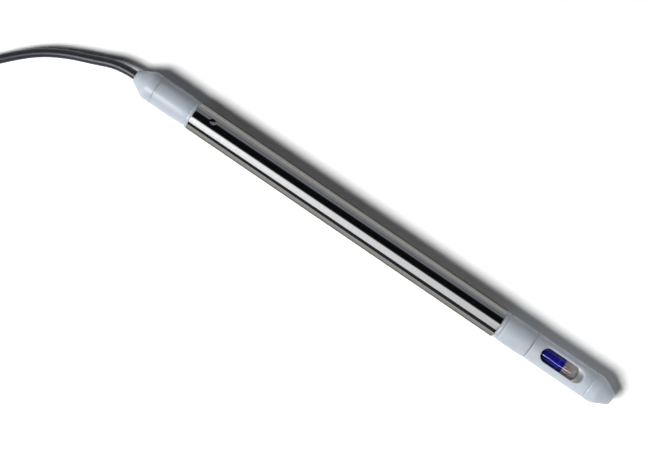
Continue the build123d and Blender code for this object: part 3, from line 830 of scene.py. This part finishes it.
def tape_rings():
    """Corners of the tape's section at each step of its way round the turns."""
    bearing = radians(strap_deg)
    outwards = Vector((cos(bearing), sin(bearing), 0))
    sideways = Vector((-sin(bearing), cos(bearing), 0))
    middle = Vector((coil_x, coil_y, 0))
    turns = [coil_place(coil_start_deg - strap_deg + 360 * i) for i in range(strap_turns)]
    rings = []
    for swept in range(0, strap_sweep_deg + 1, strap_step_deg):
        angle = radians(strap_start_deg + swept)
        facing = Vector((cos(angle), sin(angle)))
        nearest = max((Vector(turn) for turn in turns), key=facing.dot)
        climbed = min(1, max(0, 1 + (swept - 360) / strap_climb_deg))
        under = cable_r / mm + strap_slack + (strap_wall + strap_lap_gap) * climbed
        over = under + strap_wall
        ring = []
        for reach, side in ((under, -1), (under, 1), (over, 1), (over, -1)):
            place = nearest + facing * reach
            corner = middle + outwards * place.x + sideways * side * strap_half + Vector((0, 0, place.y))
            ring.append(corner * mm)
        rings.append(ring)
    return rings


strap_work = bmesh.new()
tape = [[strap_work.verts.new(corner) for corner in ring] for ring in tape_rings()]
for ring, following in zip(tape, tape[1:]):
    for k in range(len(ring)):
        strap_work.faces.new((ring[k - 1], ring[k], following[k], following[k - 1]))
strap_work.faces.new(tape[0])
strap_work.faces.new(tape[-1])
bmesh.ops.recalc_face_normals(strap_work, faces=strap_work.faces)
strap = smooth_piece("strap", strap_work)
strap_fabric = finish("strap_fabric", {"Specular IOR Level": 0.2, "Sheen Weight": 0.4})
loops = noise(strap_fabric, 0.35 * mm, detail=3)
tint(strap_fabric, loops, (0.010, 0.010, 0.011), (0.035, 0.035, 0.037))
gloss(strap_fabric, loops, smooth=0.75, rough=0.95)
relief(strap_fabric, loops, height=2e-4)
fit(strap, strap_fabric, "strap_fabric", "coil_strap")


# Plug: a coaxial bayonet connector crimped on the lead's end. Its body, ferrule and
# sleeve are nickel-plated brass, with a moulded rubber boot and a white insulator.
boot_rubber = finish("boot_rubber", {"Specular IOR Level": 0.4})
tint(boot_rubber, noise(boot_rubber, 1.5 * mm), (0.014, 0.014, 0.015), (0.024, 0.024, 0.026))
gloss(boot_rubber, noise(boot_rubber, 0.3 * mm), smooth=0.42, rough=0.58)
relief(boot_rubber, noise(boot_rubber, 0.2 * mm), height=3e-6)
dress(boot_rubber, "plug_boot")
nickel_plate = finish("nickel_plate", {"Metallic": 1.0})
tint(nickel_plate, noise(nickel_plate, 3 * mm), (0.56, 0.53, 0.48), (0.64, 0.61, 0.56))
gloss(nickel_plate, noise(nickel_plate, 0.5 * mm, stretch=(1, 0.2, 1)), smooth=0.14, rough=0.26)
dress(nickel_plate, "crimp_ferrule", "plug_body", "spring_washer", "bayonet_sleeve")
dress(core_plastic, "plug_insulator")
dress(plated_brass, "plug_pin")
dress(seal_rubber, "plug_gasket")


# Bench: a wide, plain white top. Where it is seen it is as white as paper, and it keeps
# the shadow of what lies on it. Past the shadow it fades to an even white.
bench_half = 8.0
bench_level = 0.80
seen_level = 1.33
shadow_zone = 0.42
white_zone = 0.62


def seen(nodes, links):
    """One where light goes to the eye, straight or by way of metal or glass, and zero elsewhere."""
    path = nodes.new("ShaderNodeLightPath")
    total = path.outputs["Is Camera Ray"]
    for kind in ("Is Glossy Ray", "Is Transmission Ray"):
        either = nodes.new("ShaderNodeMath")
        either.operation = "MAXIMUM"
        links.new(total, either.inputs[0])
        links.new(path.outputs[kind], either.inputs[1])
        total = either.outputs["Value"]
    return total


def stage_material(name):
    """Empty material for the set, with its node and link lists."""
    material = bpy.data.materials.new(name)
    material.use_nodes = True
    material.node_tree.nodes.clear()
    return material, material.node_tree.nodes, material.node_tree.links


bench_work = bmesh.new()
bench_corners = []
for x, y in ((-1, -1), (1, -1), (1, 1), (-1, 1)):
    bench_corners.append(bench_work.verts.new((x * bench_half, y * bench_half, 0)))
bench_work.faces.new(bench_corners)
bench = smooth_piece("bench", bench_work)
white_top, nodes, links = stage_material("white_top")
output = nodes.new("ShaderNodeOutputMaterial")
matt = nodes.new("ShaderNodeBsdfDiffuse")
paper = nodes.new("ShaderNodeEmission")
both = nodes.new("ShaderNodeMixShader")
shade = nodes.new("ShaderNodeMix")
shade.data_type = "RGBA"
shade.inputs["A"].default_value = (bench_level, bench_level, bench_level, 1)
shade.inputs["B"].default_value = (seen_level, seen_level, seen_level, 1)
to_eye = seen(nodes, links)
place = nodes.new("ShaderNodeTexCoord")
distance = nodes.new("ShaderNodeVectorMath")
distance.operation = "LENGTH"
far = nodes.new("ShaderNodeMapRange")
far.inputs["From Min"].default_value = shadow_zone
far.inputs["From Max"].default_value = white_zone
far_seen = nodes.new("ShaderNodeMath")
far_seen.operation = "MULTIPLY"
links.new(to_eye, shade.inputs["Factor"])
links.new(shade.outputs["Result"], matt.inputs["Color"])
links.new(place.outputs["Object"], distance.inputs[0])
links.new(distance.outputs["Value"], far.inputs["Value"])
links.new(far.outputs["Result"], far_seen.inputs[0])
links.new(to_eye, far_seen.inputs[1])
links.new(far_seen.outputs["Value"], both.inputs["Fac"])
links.new(matt.outputs["BSDF"], both.inputs[1])
links.new(paper.outputs["Emission"], both.inputs[2])
links.new(both.outputs["Shader"], output.inputs["Surface"])
bench.data.materials.append(white_top)


# Studio: dark and grey flags over the bench with a long white softbox among them, as is used for
# polished metal, square to the camera. Angles are from straight up, towards the camera's foot.
camera_turn = 34.26
flag_r = 2.0
flag_half = 2.5
flag_panels = [
    (-100, (0.72, 0.72, 0.71)),
    (-63, (0.72, 0.73, 0.75)),
    (-60, (0.22, 0.23, 0.25)),
    (-58, (0.22, 0.23, 0.25)),
    (-55, (0.48, 0.51, 0.57)),
    (-39, (0.48, 0.51, 0.57)),
    (-34, (0.014, 0.014, 0.017)),
    (2, (0.014, 0.014, 0.017)),
    (8, (0.07, 0.07, 0.08)),
    (86, (0.07, 0.07, 0.08)),
    (94, (0.40, 0.36, 0.32)),
    (100, (0.40, 0.36, 0.32)),
]
softbox_r = 1.6
softbox_from = 6
softbox_to = 56
softbox_soft_edge = 7
softbox_half = 1.4
softbox_tint = (0.97, 0.985, 1.0)
softbox_levels = [(-0.60, 9.5), (-0.42, 6.5), (-0.36, 3.0), (-0.29, 3.3), (0.27, 2.1), (0.32, 0.05)]


def curved_panel(name, radius, start, end, half_length):
    """Curved panel over the bench between two angles, seen only in polished surfaces."""
    work = bmesh.new()
    steps = 24
    rows = []
    for i in range(steps + 1):
        angle = radians(start + (end - start) * i / steps)
        y = -radius * sin(angle)
        z = radius * cos(angle)
        rows.append([work.verts.new((x, y, z)) for x in (-half_length, half_length)])
    for low, high in zip(rows, rows[1:]):
        work.faces.new((low[0], low[1], high[1], high[0]))
    panel = smooth_piece(name, work)
    panel.rotation_euler = (0, 0, radians(camera_turn))
    panel.visible_camera = False
    panel.visible_diffuse = False
    panel.visible_shadow = False
    return panel


def lean_share(nodes, links, start, end):
    """Angle from straight up, as a share of the way between two angles."""
    place = nodes.new("ShaderNodeTexCoord")
    parts = nodes.new("ShaderNodeSeparateXYZ")
    flip = nodes.new("ShaderNodeMath")
    flip.operation = "MULTIPLY"
    flip.inputs[1].default_value = -1
    angle = nodes.new("ShaderNodeMath")
    angle.operation = "ARCTAN2"
    share = nodes.new("ShaderNodeMapRange")
    share.inputs["From Min"].default_value = radians(start)
    share.inputs["From Max"].default_value = radians(end)
    links.new(place.outputs["Object"], parts.inputs["Vector"])
    links.new(parts.outputs["Y"], flip.inputs[0])
    links.new(flip.outputs["Value"], angle.inputs[0])
    links.new(parts.outputs["Z"], angle.inputs[1])
    links.new(angle.outputs["Value"], share.inputs["Value"])
    return share.outputs["Result"]


def stepped_colours(nodes, links, pattern, stops):
    """Colour that follows a list of (place, colour) stops along a pattern from the first to the last."""
    ramp = nodes.new("ShaderNodeValToRGB")
    marks = ramp.color_ramp.elements
    while len(marks) < len(stops):
        marks.new(1)
    first = stops[0][0]
    last = stops[-1][0]
    for mark, (place, colour) in zip(marks, stops):
        mark.position = (place - first) / (last - first)
        mark.color = (*colour, 1)
    links.new(pattern, ramp.inputs["Fac"])
    return ramp.outputs["Color"]


flags = curved_panel("flags", flag_r, flag_panels[0][0], flag_panels[-1][0], flag_half)
flag_cloth, nodes, links = stage_material("flag_cloth")
flag_cloth.cycles.emission_sampling = "NONE"
across = lean_share(nodes, links, flag_panels[0][0], flag_panels[-1][0])
glow = nodes.new("ShaderNodeEmission")
output = nodes.new("ShaderNodeOutputMaterial")
links.new(stepped_colours(nodes, links, across, flag_panels), glow.inputs["Color"])
links.new(glow.outputs["Emission"], output.inputs["Surface"])
flags.data.materials.append(flag_cloth)

softbox = curved_panel("softbox", softbox_r, softbox_from, softbox_to, softbox_half)
diffuser, nodes, links = stage_material("diffuser")
diffuser.cycles.emission_sampling = "NONE"
place = nodes.new("ShaderNodeNewGeometry")
parts = nodes.new("ShaderNodeSeparateXYZ")
along = nodes.new("ShaderNodeMapRange")
along.inputs["From Min"].default_value = softbox_levels[0][0]
along.inputs["From Max"].default_value = softbox_levels[-1][0]
links.new(place.outputs["Position"], parts.inputs["Vector"])
links.new(parts.outputs["X"], along.inputs["Value"])
levels = [(x, [share * v for share in softbox_tint]) for x, v in softbox_levels]
glow = nodes.new("ShaderNodeEmission")
output = nodes.new("ShaderNodeOutputMaterial")
links.new(stepped_colours(nodes, links, along.outputs["Result"], levels), glow.inputs["Color"])
upper_edge = lean_share(nodes, links, softbox_from, softbox_from + softbox_soft_edge)
links.new(upper_edge, glow.inputs["Strength"])
links.new(glow.outputs["Emission"], output.inputs["Surface"])
softbox.data.materials.append(diffuser)


# Lamps: a soft key lamp on the camera's left, a weak fill past the tip, and a strip that only
# polished surfaces show, as a bright line along the glass. The room is dim, but looks white.
room_level = 0.014
seen_room_level = 1.0


def lamp(name, place, size_x, size_y, watts):
    """Soft lamp at this place, aimed at the middle of the probe."""
    light = bpy.data.lights.new(name, "AREA")
    light.shape = "RECTANGLE"
    light.size = size_x
    light.size_y = size_y
    light.energy = watts
    holder = bpy.data.objects.new(name, light)
    holder.location = place
    holder.rotation_euler = (-holder.location).to_track_quat("-Z", "Y").to_euler()
    holder.visible_camera = False
    bpy.context.scene.collection.objects.link(holder)
    return holder


lamp("key", place=(-0.99, -1.93, 2.68), size_x=1.3, size_y=1.3, watts=129)
fill = lamp("fill", place=(0.40, 0.24, 0.06), size_x=0.15, size_y=0.10, watts=0.31)
fill.visible_glossy = False
glass_strip = lamp("glass_strip", place=(0.375, -0.474, 1.476), size_x=0.11, size_y=0.45, watts=1.4)
glass_strip.visible_diffuse = False

world = bpy.data.worlds.new("studio")
bpy.context.scene.world = world
world.use_nodes = True
nodes = world.node_tree.nodes
links = world.node_tree.links
level = nodes.new("ShaderNodeMapRange")
level.inputs["To Min"].default_value = room_level
level.inputs["To Max"].default_value = seen_room_level
links.new(seen(nodes, links), level.inputs["Value"])
links.new(level.outputs["Result"], nodes["Background"].inputs["Strength"])
nodes["Background"].inputs["Color"].default_value = (1, 1, 1, 1)


# Camera: straight above the bench, turned so that the probe runs from the upper left,
# where its lead comes in, to the lower right.
camera_x = -25.1 * mm
camera_y = -12.6 * mm
camera_above_axis = 1107 * mm
frame_width = 406.4 * mm
film_width = 36
camera = bpy.data.objects.new("camera", bpy.data.cameras.new("camera"))
camera.location = (camera_x, camera_y, axis_z + camera_above_axis)
camera.rotation_euler = (0, 0, radians(camera_turn))
camera.data.sensor_width = film_width
camera.data.lens = film_width * camera_above_axis / frame_width
bpy.context.scene.collection.objects.link(camera)
bpy.context.scene.camera = camera
bpy.context.scene.view_settings.view_transform = "Standard"
